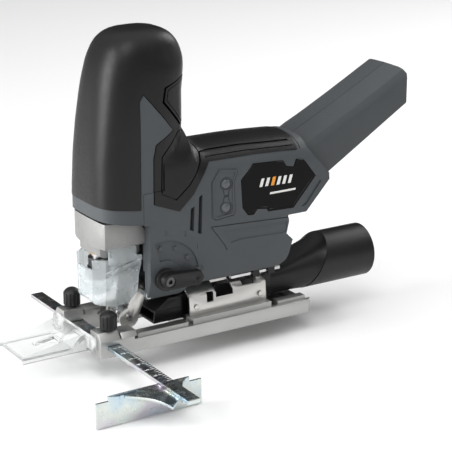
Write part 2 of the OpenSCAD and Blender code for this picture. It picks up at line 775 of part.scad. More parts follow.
module knob(y) {
    color([0.1, 0.1, 0.11]) difference() {
        union() {
            bar_z(knob_x, y, 2.5, bar_z + bar_t + 0.3, cap_h + 0.4);
            bar_z(knob_x, y, 3.6, cap_h + 0.2, 18);
            bar_z(knob_x, y, knob_r, 17.4, 25.4);
            translate([knob_x, y, 25.4]) rotate_extrude() intersection() {
                translate([0, -2.7]) circle(r = knob_r + 0.6);
                square([knob_r, 4]);
            }
        }
        for (a = [0:30:330]) translate([knob_x, y, 16]) rotate(a) translate([knob_r + 0.25, 0, 0])
            cylinder(h = 14, r = 0.75, $fn = 16);
    }
}
module left_knob() {
    knob(-knob_y);
}
module right_knob() {
    knob(knob_y);
}
module line_guide() {
    color([0.85, 0.9, 0.9, 0.5]) difference() {
        union() {
            both_sides() {
                xz([[-126.5, 2.4], [-80.6, 2.4], [-80.6, 13], [-88, 13], [-126.5, 6.8]], -18.6, -16.8);
                box(-84, -80.6, -27, -16.8, 4, 13);
            }
            box(-126.5, -96, -17, 17, 4.4, 6.2);
            box(-86, -80.6, -17, 17, 10, 13);
        }
        translate([-104, 0, 0]) linear_extrude(20) polygon([[0, 0], [14, -5], [14, 5]]);
    }
}

housing_left();
housing_right();
grip_left();
grip_right();
arm_left();
arm_right();
nose_casting();
badge_plates();
button_panel();
motor_can();
motor_plate();
shaft_bearings();
plunger_bushes();
wheel_carrier();
wheel_axle();
circuit_board();
switch_module();
work_light();
battery_rails();
battery_contacts();
housing_screws();
clamp_screw();
bracket_pin();
hex_key();
key_clip();
trigger();
upper_button();
lower_button();
pendulum_lever();
lever_screw();
roller_bracket();
roller_pin();
guide_roller();
plunger_rod();
scotch_yoke();
blade_clamp();
rotor_shaft();
rotor_core();
motor_fan();
motor_pinion();
crown_wheel();
crank_pin();
blade_guard();
base_plate();
cradle_bracket();
dust_duct();
dust_tube();
fence_bar();
fence_plate();
fence_rivets();
left_knob();
right_knob();
line_guide();
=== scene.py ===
# %% [markdown]
# # A cordless jigsaw
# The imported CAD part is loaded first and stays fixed: it gives every place and every moving body.
# The shells, soft grips and clear guards are modelled here at a finer level and stand for the plain
# CAD solids, while turned and machined parts keep their CAD mesh and get a finish.
# All outlines below are in millimetres in the part's own frame, where -X is the front, -Y the side
# with the lever and +Z up. They are scaled to metres once, when a piece is finished.

import json
import math

import bmesh
import bpy
from mathutils import Matrix, Vector

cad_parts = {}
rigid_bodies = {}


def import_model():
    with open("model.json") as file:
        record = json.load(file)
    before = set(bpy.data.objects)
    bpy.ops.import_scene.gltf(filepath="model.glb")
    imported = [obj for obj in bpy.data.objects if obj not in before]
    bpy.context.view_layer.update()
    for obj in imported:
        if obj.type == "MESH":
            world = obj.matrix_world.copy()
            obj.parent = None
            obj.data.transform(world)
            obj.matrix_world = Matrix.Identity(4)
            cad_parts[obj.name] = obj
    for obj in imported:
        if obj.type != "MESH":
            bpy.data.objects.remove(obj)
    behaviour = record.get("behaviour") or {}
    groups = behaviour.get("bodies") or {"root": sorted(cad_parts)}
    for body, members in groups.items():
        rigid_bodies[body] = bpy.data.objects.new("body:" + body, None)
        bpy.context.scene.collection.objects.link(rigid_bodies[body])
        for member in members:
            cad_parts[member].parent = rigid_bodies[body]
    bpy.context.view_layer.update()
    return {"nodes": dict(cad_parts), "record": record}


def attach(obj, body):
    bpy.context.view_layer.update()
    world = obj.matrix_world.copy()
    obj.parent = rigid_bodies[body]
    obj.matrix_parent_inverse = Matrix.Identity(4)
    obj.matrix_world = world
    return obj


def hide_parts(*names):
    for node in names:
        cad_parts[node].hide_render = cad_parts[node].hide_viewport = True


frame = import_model()
nodes = frame["nodes"]
MM = 0.001
SIDE = 27.0
print("CAD nodes:", len(nodes))

# %% [markdown]
# ## Tools for making meshes
# A moulded tool is mostly outlines pushed through space, so four small helpers make most pieces: a
# prism from an outline, a turned shape from a profile, a loft through a row of rings, and a
# combination of two closed shapes. Each starts from a few vertices and lets a mesh operator do the
# rest.

# %% Prisms, turned shapes and lofts
AXES = {"x": (1, 2, 0), "y": (0, 2, 1), "z": (0, 1, 2)}


def prism(points, axis, low, high):
    """An outline pushed along an axis: (y, z) for x, (x, z) for y and (x, y) for z."""
    a, b, c = AXES[axis]
    bm = bmesh.new()
    ring = []
    for u, v in points:
        co = [0.0, 0.0, 0.0]
        co[a], co[b], co[c] = u, v, low
        ring.append(bm.verts.new(co))
    face = bm.faces.new(ring)
    made = bmesh.ops.extrude_face_region(bm, geom=[face])["geom"]
    step = [0.0, 0.0, 0.0]
    step[c] = high - low
    bmesh.ops.translate(bm, verts=[g for g in made if isinstance(g, bmesh.types.BMVert)], vec=step)
    bmesh.ops.recalc_face_normals(bm, faces=bm.faces)
    return bm


def block(x0, x1, y0, y1, z0, z1):
    """A box between two corners."""
    return prism([(x0, z0), (x1, z0), (x1, z1), (x0, z1)], "y", y0, y1)


def turned(profile, axis, centre, steps=48):
    """A closed profile of (radius, place along the axis), spun once round it."""
    bm = bmesh.new()
    verts = [bm.verts.new((r, 0, h)) for r, h in profile]
    edges = [bm.edges.new((verts[i], verts[i + 1])) for i in range(len(verts) - 1)]
    bmesh.ops.spin(bm, geom=verts + edges, cent=(0, 0, 0), axis=(0, 0, 1), dvec=(0, 0, 0),
                   angle=math.tau, steps=steps, use_merge=True)
    bmesh.ops.remove_doubles(bm, verts=bm.verts, dist=0.0005)
    turn = {"x": Matrix.Rotation(math.pi / 2, 3, "Y"), "y": Matrix.Rotation(-math.pi / 2, 3, "X"),
            "z": Matrix.Identity(3)}[axis]
    bmesh.ops.rotate(bm, verts=bm.verts, cent=(0, 0, 0), matrix=turn)
    bmesh.ops.translate(bm, verts=bm.verts, vec=centre)
    bmesh.ops.recalc_face_normals(bm, faces=bm.faces)
    return bm


def rod(axis, centre, radius, low, high, steps=32):
    """A cylinder along an axis through centre, from low to high."""
    return turned([(0, low), (radius, low), (radius, high), (0, high)], axis, centre, steps)


def loft(rings):
    """A closed skin through a row of rings that all have the same number of points."""
    bm = bmesh.new()
    loops = []
    for ring in rings:
        verts = [bm.verts.new(p) for p in ring]
        loops.append([bm.edges.new((verts[i], verts[(i + 1) % len(verts)]))
                      for i in range(len(verts))])
        if ring is rings[0] or ring is rings[-1]:
            bm.faces.new(verts)
    for near, far in zip(loops, loops[1:]):
        bmesh.ops.bridge_loops(bm, edges=near + far)
    bmesh.ops.recalc_face_normals(bm, faces=bm.faces)
    return bm


# %% Combining closed shapes
def as_object(bm, name):
    """The shape as an object in the scene. The shape is used up."""
    mesh = bpy.data.meshes.new(name)
    bm.to_mesh(mesh)
    bm.free()
    obj = bpy.data.objects.new(name, mesh)
    bpy.context.scene.collection.objects.link(obj)
    return obj


def combine(base, tool, operation):
    """The base shape joined with, cut by or limited to the tool shape. Both are used up."""
    first, second = as_object(base, "base"), as_object(tool, "tool")
    step = first.modifiers.new("combine", "BOOLEAN")
    step.operation, step.object, step.solver = operation, second, "MANIFOLD"
    result = bmesh.new()
    result.from_object(first, bpy.context.evaluated_depsgraph_get())
    if not result.faces:
        step.solver = "EXACT"
        result.from_object(first, bpy.context.evaluated_depsgraph_get())
    for obj in (first, second):
        mesh = obj.data
        bpy.data.objects.remove(obj)
        bpy.data.meshes.remove(mesh)
    return result


def cut(base, *tools):
    for tool in tools:
        base = combine(base, tool, "DIFFERENCE")
    return base


def keep(base, *tools):
    for tool in tools:
        base = combine(base, tool, "INTERSECT")
    return base


def join(base, *tools):
    for tool in tools:
        base = combine(base, tool, "UNION")
    return base


def loose(*parts):
    """Several closed shapes in one piece, without cutting them into each other."""
    result = bmesh.new()
    for part in parts:
        mesh = bpy.data.meshes.new("part")
        part.to_mesh(mesh)
        part.free()
        result.from_mesh(mesh)
        bpy.data.meshes.remove(mesh)
    return result


def mirrored(bm):
    """The same shape on the other side of the tool."""
    bmesh.ops.scale(bm, vec=(1, -1, 1), verts=bm.verts)
    bmesh.ops.reverse_faces(bm, faces=bm.faces)
    return bm


def both(make):
    """A shape made on the left side, and its mirror image."""
    return loose(make(), mirrored(make()))


# %% Outlines
def arc(cx, cy, r, start, end, n):
    return [(cx + r * math.cos(math.radians(start + (end - start) * i / n)),
             cy + r * math.sin(math.radians(start + (end - start) * i / n))) for i in range(n + 1)]


def grown(points, by):
    """The outline moved outwards by a distance, with its corners kept sharp."""
    area = sum(p[0] * q[1] - q[0] * p[1] for p, q in zip(points, points[1:] + points[:1]))
    turn = 1 if area > 0 else -1
    count = len(points)
    result = []
    for i in range(count):
        here = Vector(points[i])
        before = (here - Vector(points[i - 1])).normalized()
        after = (Vector(points[(i + 1) % count]) - here).normalized()
        n1, n2 = Vector((before.y, -before.x)) * turn, Vector((after.y, -after.x)) * turn
        result.append(tuple(here + (n1 + n2) * by / (1 + n1.dot(n2))))
    return result


def tapered(points, low, high, grow_low):
    """A prism along Y that is wider by grow_low at its outer side, for a sloped edge."""
    return loft([[(x, low, z) for x, z in grown(points, grow_low)],
                 [(x, high, z) for x, z in points]])


def band(line, width):
    """A closed strip of a given width that follows an open line."""
    left, right = [], []
    for i, point in enumerate(line):
        here = Vector(point)
        before = (here - Vector(line[i - 1])).normalized() if i else None
        after = (Vector(line[i + 1]) - here).normalized() if i < len(line) - 1 else before
        before = before or after
        n1, n2 = Vector((-before.y, before.x)), Vector((-after.y, after.x))
        off = (n1 + n2) * (width / 2) / (1 + n1.dot(n2))
        left.append(tuple(here + off))
        right.append(tuple(here - off))
    return left + right[::-1]


# %% [markdown]
# ## Finishes
# Each finish is a Principled BSDF fed by small shared node groups. A group makes the fine detail
# that several materials need: moulded or cast grain, brushed lines, and the clouds of plated zinc.
# A group gives only colours and values. The shader with its plain numbers stays in the material.

# %% Node groups
def new_group(name, inputs, outputs):
    group = bpy.data.node_groups.new(name, "ShaderNodeTree")
    for label, kind, value in inputs:
        socket = group.interface.new_socket(name=label, in_out="INPUT", socket_type=kind)
        socket.default_value = value
    for label, kind in outputs:
        group.interface.new_socket(name=label, in_out="OUTPUT", socket_type=kind)
    return group, group.nodes.new("NodeGroupInput"), group.nodes.new("NodeGroupOutput")


def noise(tree, vector, scale, detail=4.0):
    node = tree.nodes.new("ShaderNodeTexNoise")
    node.inputs["Detail"].default_value = detail
    tree.links.new(vector, node.inputs["Vector"])
    if isinstance(scale, (int, float)):
        node.inputs["Scale"].default_value = scale
    else:
        tree.links.new(scale, node.inputs["Scale"])
    return node.outputs["Fac"]


def spread(tree, value, low, high, to_low, to_high):
    """A value taken from one range to another."""
    node = tree.nodes.new("ShaderNodeMapRange")
    for name, number in (("From Min", low), ("From Max", high)):
        node.inputs[name].default_value = number
    for name, number in (("To Min", to_low), ("To Max", to_high)):
        if isinstance(number, (int, float)):
            node.inputs[name].default_value = number
        else:
            tree.links.new(number, node.inputs[name])
    tree.links.new(value, node.inputs["Value"])
    return node.outputs["Result"]


def blend_colour(tree, factor, first, second):
    node = tree.nodes.new("ShaderNodeMix")
    node.data_type = "RGBA"
    tree.links.new(factor, node.inputs["Factor"])
    for socket, colour in (("A", first), ("B", second)):
        target = [s for s in node.inputs if s.name == socket and s.type == "RGBA"][0]
        if isinstance(colour, tuple):
            target.default_value = colour
        else:
            tree.links.new(colour, target)
    return [s for s in node.outputs if s.type == "RGBA"][0]


def grain_group():
    """Fine moulded or cast grain, with slow changes of tone and sheen over the piece."""
    group, given, out = new_group("moulded_grain", [
        ("Vector", "NodeSocketVector", (0, 0, 0)),
        ("Colour", "NodeSocketColor", (0.1, 0.1, 0.1, 1)),
        ("Tone", "NodeSocketColor", (0.12, 0.12, 0.12, 1)), ("Grain", "NodeSocketFloat", 1500.0),
        ("Smooth", "NodeSocketFloat", 0.35), ("Rough", "NodeSocketFloat", 0.5)],
        [("Colour", "NodeSocketColor"), ("Roughness", "NodeSocketFloat"),
         ("Height", "NodeSocketFloat")])
    fine = noise(group, given.outputs["Vector"], given.outputs["Grain"], 3.0)
    slow = noise(group, given.outputs["Vector"], 28.0, 3.0)
    specks = noise(group, given.outputs["Vector"], 420.0, 2.0)
    tone = spread(group, slow, 0.35, 0.65, 0.0, 1.0)
    colour = blend_colour(group, tone, given.outputs["Colour"], given.outputs["Tone"])
    mottle = spread(group, specks, 0.3, 0.7, 0.0, 1.0)
    group.links.new(colour, out.inputs["Colour"])
    group.links.new(spread(group, mottle, 0.0, 1.0, given.outputs["Smooth"],
                           given.outputs["Rough"]), out.inputs["Roughness"])
    group.links.new(fine, out.inputs["Height"])
    return group


def brushed_group():
    """Long fine scratches along X, with faint stains, for sheet metal and turned steel."""
    group, given, out = new_group("brushed_lines", [
        ("Vector", "NodeSocketVector", (0, 0, 0)),
        ("Colour", "NodeSocketColor", (0.6, 0.6, 0.6, 1)),
        ("Stain", "NodeSocketColor", (0.4, 0.4, 0.4, 1)), ("Smooth", "NodeSocketFloat", 0.2),
        ("Rough", "NodeSocketFloat", 0.4)],
        [("Colour", "NodeSocketColor"), ("Roughness", "NodeSocketFloat"),
         ("Height", "NodeSocketFloat")])
    stretch = group.nodes.new("ShaderNodeMapping")
    stretch.inputs["Scale"].default_value = (0.04, 1.0, 1.0)
    group.links.new(given.outputs["Vector"], stretch.inputs["Vector"])
    lines = noise(group, stretch.outputs["Vector"], 2600.0, 3.0)
    stains = spread(group, noise(group, given.outputs["Vector"], 60.0), 0.4, 0.7, 0.0, 1.0)
    group.links.new(blend_colour(group, stains, given.outputs["Colour"], given.outputs["Stain"]),
                    out.inputs["Colour"])
    group.links.new(spread(group, lines, 0.3, 0.7, given.outputs["Smooth"],
                           given.outputs["Rough"]), out.inputs["Roughness"])
    group.links.new(lines, out.inputs["Height"])
    return group


def plating_group():
    """The pale blue, yellow and violet clouds of a passivated zinc surface."""
    group, given, out = new_group("zinc_clouds", [("Vector", "NodeSocketVector", (0, 0, 0))],
                                  [("Colour", "NodeSocketColor"), ("Roughness", "NodeSocketFloat")])
    clouds = noise(group, given.outputs["Vector"], 38.0, 2.0)
    ramp = group.nodes.new("ShaderNodeValToRGB")
    stops = [(0.3, (0.50, 0.62, 0.70, 1)), (0.45, (0.66, 0.70, 0.66, 1)),
             (0.58, (0.60, 0.56, 0.62, 1)), (0.7, (0.56, 0.68, 0.74, 1))]
    ramp.color_ramp.elements[0].position, ramp.color_ramp.elements[0].color = stops[0]
    ramp.color_ramp.elements[1].position, ramp.color_ramp.elements[1].color = stops[-1]
    for place, colour in stops[1:-1]:
        ramp.color_ramp.elements.new(place).color = colour
    group.links.new(clouds, ramp.inputs["Fac"])
    group.links.new(ramp.outputs["Color"], out.inputs["Colour"])
    group.links.new(spread(group, noise(group, given.outputs["Vector"], 240.0), 0.35, 0.65, 0.14,
                           0.3), out.inputs["Roughness"])
    return group


GRAIN, BRUSHED, PLATING = grain_group(), brushed_group(), plating_group()
print("node groups:", [g.name for g in (GRAIN, BRUSHED, PLATING)])


# %% Materials
GRAIN_DEPTH, LINE_DEPTH = 0.0003, 0.0002


def new_material(name, **plain):
    """A material with one Principled BSDF. Plain numbers go on the shader's own sockets."""
    material = bpy.data.materials.new(name)
    material.use_nodes = True
    shader = material.node_tree.nodes["Principled BSDF"]
    for socket, value in plain.items():
        shader.inputs[socket.replace("_", " ")].default_value = value
    place = material.node_tree.nodes.new("ShaderNodeTexCoord").outputs["Object"]
    return material, material.node_tree, shader, place


def add_bump(tree, shader, height, strength, distance):
    bump = tree.nodes.new("ShaderNodeBump")
    bump.inputs["Strength"].default_value = strength
    bump.inputs["Distance"].default_value = distance
    tree.links.new(height, bump.inputs["Height"])
    tree.links.new(bump.outputs["Normal"], shader.inputs["Normal"])


def grouped(name, group, values, **plain):
    """A material whose colour and roughness come from a node group with its own values."""
    material, tree, shader, place = new_material(name, **plain)
    node = tree.nodes.new("ShaderNodeGroup")
    node.node_tree = group
    for socket, value in values.items():
        node.inputs[socket].default_value = value
    tree.links.new(place, node.inputs["Vector"])
    tree.links.new(node.outputs["Colour"], shader.inputs["Base Color"])
    tree.links.new(node.outputs["Roughness"], shader.inputs["Roughness"])
    return material, tree, shader, node


def grained(name, colour, tone, grain, smooth, rough, bump, **plain):
    """Moulded plastic, rubber, paint or a casting: two close tones, grain and a little bump."""
    values = {"Colour": (*colour, 1), "Tone": (*tone, 1), "Grain": grain, "Smooth": smooth,
              "Rough": rough}
    material, tree, shader, node = grouped(name, GRAIN, values, **plain)
    add_bump(tree, shader, node.outputs["Height"], bump, GRAIN_DEPTH)
    return material


def brushed(name, colour, stain, smooth, rough, bump):
    """Bare metal with fine lines along X."""
    values = {"Colour": (*colour, 1), "Stain": (*stain, 1), "Smooth": smooth, "Rough": rough}
    material, tree, shader, node = grouped(name, BRUSHED, values, Metallic=1.0)
    add_bump(tree, shader, node.outputs["Height"], bump, LINE_DEPTH)
    return material


def plated(name):
    """Passivated zinc."""
    return grouped(name, PLATING, {}, Metallic=1.0)[0]


def clear(name, colour, smooth, rough, through, bend):
    """Clear moulded plastic, with patches that are slightly more frosted than others."""
    material, tree, shader, place = new_material(
        name, Base_Color=(*colour, 1), Transmission_Weight=through, IOR=bend)
    value = noise(tree, place, 90.0, 2.0)
    tree.links.new(spread(tree, value, 0.35, 0.65, smooth, rough), shader.inputs["Roughness"])
    return material


finish = {
    "housing": grained("slate_nylon", (0.062, 0.069, 0.074), (0.068, 0.075, 0.080), 2200.0,
                       0.42, 0.52, 0.25, Specular_IOR_Level=0.3),
    "arm": grained("dark_nylon", (0.060, 0.066, 0.070), (0.066, 0.072, 0.076), 2200.0, 0.42, 0.52,
                   0.25, Specular_IOR_Level=0.3),
    "soft_grip": grained("soft_rubber", (0.0055, 0.0055, 0.0056), (0.0075, 0.0074, 0.0073), 2600.0,
                         0.34, 0.44, 0.3, Specular_IOR_Level=0.3),
    "nose": grained("cast_nose", (0.25, 0.25, 0.245), (0.30, 0.30, 0.295), 1700.0, 0.42, 0.60, 0.8,
                    Metallic=0.4),
    "badge": grained("gloss_badge", (0.002, 0.002, 0.002), (0.003, 0.003, 0.003), 900.0, 0.12, 0.2,
                     0.02, Specular_IOR_Level=0.12),
    "black_plastic": grained("black_nylon", (0.006, 0.006, 0.0063), (0.008, 0.008, 0.0083),
                             2400.0, 0.32, 0.44, 0.3, Specular_IOR_Level=0.35),
    "control_plastic": grained("grey_control", (0.075, 0.083, 0.088), (0.085, 0.093, 0.098),
                               2200.0, 0.28, 0.4, 0.15),
    "steel": brushed("turned_steel", (0.62, 0.62, 0.63), (0.5, 0.5, 0.5), 0.16, 0.34, 0.1),
    "dark_steel": brushed("oiled_steel", (0.10, 0.10, 0.105), (0.16, 0.15, 0.14), 0.25, 0.45, 0.1),
    "bronze": brushed("sintered_bronze", (0.45, 0.28, 0.12), (0.35, 0.22, 0.1), 0.3, 0.5, 0.2),
    "copper": brushed("copper_wire", (0.6, 0.25, 0.1), (0.45, 0.18, 0.07), 0.25, 0.4, 0.2),
    "board": grained("solder_mask", (0.01, 0.09, 0.035), (0.012, 0.11, 0.04), 800.0, 0.15, 0.3,
                     0.1),
    "base_cast": grained("machined_casting", (0.43, 0.43, 0.42), (0.46, 0.46, 0.45), 1300.0, 0.34,
                         0.38, 0.05, Metallic=0.95),
    "bracket_sheet": grained("satin_nickel", (0.66, 0.65, 0.63), (0.60, 0.59, 0.57), 1500.0,
                             0.30, 0.36, 0.05, Metallic=1.0),
    "fence_zinc": plated("passivated_zinc"),
    "clear_plastic": clear("clear_polycarbonate", (0.80, 0.84, 0.85), 0.22, 0.30, 0.72,
                           1.10),
    "guide_plastic": clear("clear_acrylic", (0.93, 0.94, 0.94), 0.10, 0.20, 0.88, 1.14),
    "lens": clear("clear_lens", (0.97, 0.98, 1.0), 0.02, 0.05, 1.0, 1.45),
    "white_mark": grained("white_paint", (0.8, 0.8, 0.78), (0.7, 0.7, 0.68), 900.0, 0.4, 0.5, 0.1),
    "orange_mark": grained("orange_paint", (0.85, 0.32, 0.02), (0.75, 0.28, 0.02), 900.0, 0.4,
                           0.5, 0.1),
}
print("materials:", len(finish))


# %% Finishing a piece
def piece(name, bm, body, slot, material=None, replaces=(), smooth=32.0, edge=0.0, segments=2):
    """Rounds a shape's sharp edges, scales it to metres, and gives it a finish and a body."""
    if edge:
        bmesh.ops.dissolve_limit(bm, angle_limit=math.radians(1.0), verts=bm.verts,
                                 edges=bm.edges)
        sharp = [e for e in bm.edges if e.is_manifold and e.calc_face_angle() > math.radians(28)]
        bmesh.ops.bevel(bm, geom=sharp, offset=edge, offset_type="OFFSET", segments=segments,
                        profile=0.5, affect="EDGES", clamp_overlap=True, material=-1)
    bmesh.ops.scale(bm, vec=(MM, MM, MM), verts=bm.verts)
    obj = as_object(bm, name)
    for face in obj.data.polygons:
        face.use_smooth = True
    obj.data.set_sharp_from_angle(angle=math.radians(smooth))
    obj.data.materials.append(finish[material or slot])
    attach(obj, body)
    if replaces:
        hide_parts(*replaces)
    print(f"{name}: {len(obj.data.polygons)} faces on {body}")
    return obj


# %% [markdown]
# ## The camera, the floor and the light
# The view is a long lens from the front left, a little above. The floor is one wide pale sheet just
# under the fence plate, which is the lowest part. Three large soft lights and a sky that is
# brighter overhead stand for a light tent. One patch of the sky, behind the tool, is nearly black:
# the level metal faces and the saddle mirror it, so they look dark with bright edges.

# %% Camera and floor
view = bpy.data.cameras.new("view")
view.lens, view.sensor_width = 126.67, 36.0
camera = bpy.data.objects.new("view", view)
bpy.context.scene.collection.objects.link(camera)
camera.location = (-0.4998, -0.8449, 0.3843)
aim = Vector((0.03144, 0.0, 0.05935)) - camera.location
camera.rotation_euler = aim.to_track_quat("-Z", "Y").to_euler()
bpy.context.scene.camera = camera

FLOOR_Z = -0.0142
floor_bm = bmesh.new()
bmesh.ops.create_grid(floor_bm, x_segments=1, y_segments=1, size=6.0)
bmesh.ops.translate(floor_bm, verts=floor_bm.verts, vec=(0, 0, FLOOR_Z))
floor = as_object(floor_bm, "floor")
floor_finish, floor_tree, floor_shader, floor_place = new_material("pale_floor", Roughness=0.9)
floor_tree.links.new(
    blend_colour(floor_tree, noise(floor_tree, floor_place, 3.0), (0.86, 0.86, 0.86, 1),
                 (0.89, 0.89, 0.89, 1)), floor_shader.inputs["Base Color"])
floor.data.materials.append(floor_finish)

# %% Sky
TOWARDS_PATCH = Vector((0.506, 0.805, 0.31)).normalized()
sky = bpy.data.worlds.new("studio")
sky.use_nodes = True
tree = sky.node_tree
background = tree.nodes["Background"]
background.inputs["Color"].default_value = (1.0, 1.0, 1.0, 1)
toward = tree.nodes.new("ShaderNodeTexCoord").outputs["Generated"]
facing = tree.nodes.new("ShaderNodeVectorMath")
facing.operation = "DOT_PRODUCT"
facing.inputs[1].default_value = TOWARDS_PATCH
tree.links.new(toward, facing.inputs[0])
patch = spread(tree, facing.outputs["Value"], 0.80, 0.97, 0.32, 0.03)
height = tree.nodes.new("ShaderNodeSeparateXYZ")
tree.links.new(toward, height.inputs[0])
overhead = spread(tree, height.outputs["Z"], 0.45, 0.95, 1.0, 3.0)
product = tree.nodes.new("ShaderNodeMath")
product.operation = "MULTIPLY"
tree.links.new(patch, product.inputs[0])
tree.links.new(overhead, product.inputs[1])
tree.links.new(product.outputs[0], background.inputs["Strength"])
bpy.context.scene.world = sky


# %% Soft lights
def soft_light(name, place, target, width, height, power):
    data = bpy.data.lights.new(name, "AREA")
    data.shape, data.size, data.size_y, data.energy = "RECTANGLE", width, height, power
    obj = bpy.data.objects.new(name, data)
    bpy.context.scene.collection.objects.link(obj)
    obj.location = place
    obj.rotation_euler = (Vector(target) - Vector(place)).to_track_quat("-Z", "Y").to_euler()


soft_light("left_panel", (-1.25, 0.1, 0.45), (-0.04, 0, 0.1), 0.8, 1.0, 21.0)
soft_light("key_sheet", (-0.5, -0.7, 1.4), (0, 0, 0.05), 0.8, 0.8, 8.0)
soft_light("right_panel", (1.3, 0.2, 0.9), (0.03, 0, 0.05), 0.8, 0.6, 10.0)
bpy.context.scene.view_settings.view_transform = "Standard"
print("camera, floor and lights placed")

# %% [markdown]
# ## The main shell
# The upright barrel is an almost round tube with a domed top, leaning back a little towards the
# top, and the body runs back from it like a saddle. Both are lofts: a ring of points is worked out
# at each station and the rings are bridged. A shell can be made slightly larger or smaller, which
# later gives the rubber its thickness and the grooves their depth.

# %% Barrel and body lofts
BARREL_FOOT, DOME_FOOT, BARREL_TOP = 80.0, 166.0, 199.5
DOME_SQUARENESS = 3.0
FRONT_LINE = [(70, -73.0), (98, -73.0), (122, -72.1), (141, -70.4), (163, -67.6), (176, -65.2),
              (186, -63.4), (230, -60.0)]
BACK_LINE = [(70, -9.0), (145, -9.0), (160, -8.6), (172, -7.2), (180, -6.4), (230, -6.4)]
BACK_SQUARENESS = 2.75
BODY_TOP = 120.5


def along(line, z):
    """The value at height z on a line of (height, value) points."""
    for (z0, a), (z1, b) in zip(line, line[1:]):
        if z0 <= z <= z1:
            return a + (b - a) * (z - z0) / (z1 - z0)
    return line[-1][1]


def barrel_ring(z, grow, shrink):
    """One level ring of the barrel. shrink is 1 at the dome's foot and falls to 0 at its top."""
    front, back = along(FRONT_LINE, z), along(BACK_LINE, z)
    front_squareness = 4.4 - 1.6 * max(0.0, min(1.0, (z - 90.0) / 85.0))
    centre, half_l = (front + back) / 2, (back - front) / 2
    half_w = 26.6 - 1.0 * max(0.0, min(1.0, (z - 145.0) / 35.0))
    half_l = (half_l - 1) * shrink + 1 + grow * max(shrink, 0.3)
    half_w = (half_w - 0.8) * shrink + 0.8 + grow * max(shrink, 0.3)
    ring = []
    for k in range(88):
        a = math.tau * k / 88
        c, s = math.cos(a), math.sin(a)
        n = BACK_SQUARENESS if c > 0 else front_squareness
        x = centre + half_l * math.copysign(abs(c) ** (2 / n), c)
        y = half_w * math.copysign(abs(s) ** (2 / n), s)
        dish = math.exp(-(((x + 22) / 13) ** 2 + ((z - 186) / 7.5) ** 2)) * 1.7
        waist = math.exp(-(((x + 12) / 12) ** 2 + ((z - 163) / 12) ** 2)) * 0.7
        push = (dish + waist) * min(1.0, abs(y) / 16)
        ring.append((x, y - math.copysign(push, y), z))
    return ring


def barrel(grow=0.0):
    levels = [BARREL_FOOT - grow] + [BARREL_FOOT + 5 * i for i in range(1, 18)]
    rings = [barrel_ring(z, grow, 1.0) for z in levels]
    rise = BARREL_TOP - DOME_FOOT
    for i in range(19):
        t = math.sin(math.radians(5 * i)) if i else 0.05
        shrink = (1 - t ** DOME_SQUARENESS) ** (1 / DOME_SQUARENESS)
        rings.append(barrel_ring(DOME_FOOT + rise * t + grow * t, grow, shrink))
    return loft(rings)


def body_ring(x, grow):
    """One upright ring of the body: straight sides, a round crown and a rise at the throat."""
    rise = 0.0
    if x < 8:
        rise = 17 * (1 - math.sqrt(max(0.0, 1 - min(1.0, (8 - x) / 17) ** 2)))
    sag = 1.0 + 3.5 * max(0.0, (x - 30) / 65) ** 1.6
    top = BODY_TOP + 1.0 + rise - sag + grow
    corner = min(25.5, 17.0 + 1.2 * rise)
    w = SIDE + grow
    half = [(0.0, 22 - grow), (19.5 + grow, 22 - grow), (20 + grow, 27 - grow),
            (23.4 + grow, 31 - grow), (w, 42 - grow), (w, 70), (w, 90), (w + 0.001, top - corner)]
    half += [(w - corner + corner * math.cos(t), top - corner + corner * math.sin(t))
             for t in [math.radians(90 * i / 10) for i in range(1, 10)]]
    half += [(w - corner, top + 0.3), ((w - corner) / 2, top + 0.9), (0.0, top + 1.1)]
    ring = [(x, y, z) for y, z in half]
    return ring + [(x, -y, z) for y, z in half[-2:0:-1]]


BODY_SIDE = ([(-45, 80), (-41, 76), (-44, 56), (-48, 30), (-46.5, 28.6), (-17, 28.6), (-11, 34.4),
              (57, 34.4), (62, 38), (66.5, 51.6), (61.5, 56.5), (63.5, 65.0), (62.6, 69.0),
              (77, 69), (95.3, 88.5), (95, 93)]
             + [(79, 112), (78.5, 124), (60, 150), (-20, 150), (-30, 120), (-30, 100), (-45, 100)])


def body(grow=0.0):
    stations = [-50, -40, -30, -20, -14, -10, -8, -6, -4, -2, 0, 2, 5, 8, 14, 22, 30, 40, 50, 60,
                70, 80, 90, 100]
    return keep(loft([body_ring(x, grow) for x in stations]),
                prism(grown(BODY_SIDE, grow), "y", -50, 50))


def shell(grow=0.0):
    return join(body(grow), barrel(grow))


test = shell(0.0)
print("main shell:", len(test.faces), "faces, closed", all(e.is_manifold for e in test.edges))
test.free()

# %% [markdown]
# ## Where the soft rubber lies
# The rubber is a skin round the barrel and over the saddle, let into the hard shell. Its edges are
# plain outlines seen from the side: the long bare strip, the pad behind it and the saddle. The same
# outlines cut the pocket in the shell and the rubber that fills it, a hair smaller.

# %% Rubber outlines
RUBBER = [(-95, 97.2), (-71, 93.4), (-47.5, 90), (-43.2, 92.6), (-38.9, 92.6), (-19.7, 85.2),
          (-9.5, 94.5), (-1.5, 107.0), (3.6, 113.6), (37.6, 113.4), (60, 112.4), (70.8, 111.6),
          (72.4, 122.3), (64.4, 131), (60, 150), (40, 215), (-95, 215)]
STRIP = [(-46.4, 88), (-38.6, 88), (-38.1, 121.8), (-36.2, 130.4), (-22.9, 137.6),
         (-43.6, 161.6), (-45.9, 158.4)]
PADDLE = [(-13.5, 169.2), (-27.6, 164.6), (-29.2, 156.4), (-15.0, 140.2), (0, 140.2), (0, 169.2)]
WINDOW = [(-13.5, 169.8), (-29.0, 165.2), (-30.8, 156.1), (-16.4, 139.6), (2, 139.6), (2, 169.8)]
PAD = [(-18.2, 135.6), (-31.6, 121.9), (-32.4, 98.6), (-22.0, 93.3), (-12.4, 101.2), (-3.2, 113.8),
       (-1.4, 119.4), (-3.0, 135.6)]
SADDLE_LINE = [(-3.0, 113.8), (-0.6, 119.3), (30, 119.2), (67.2, 117.4)]


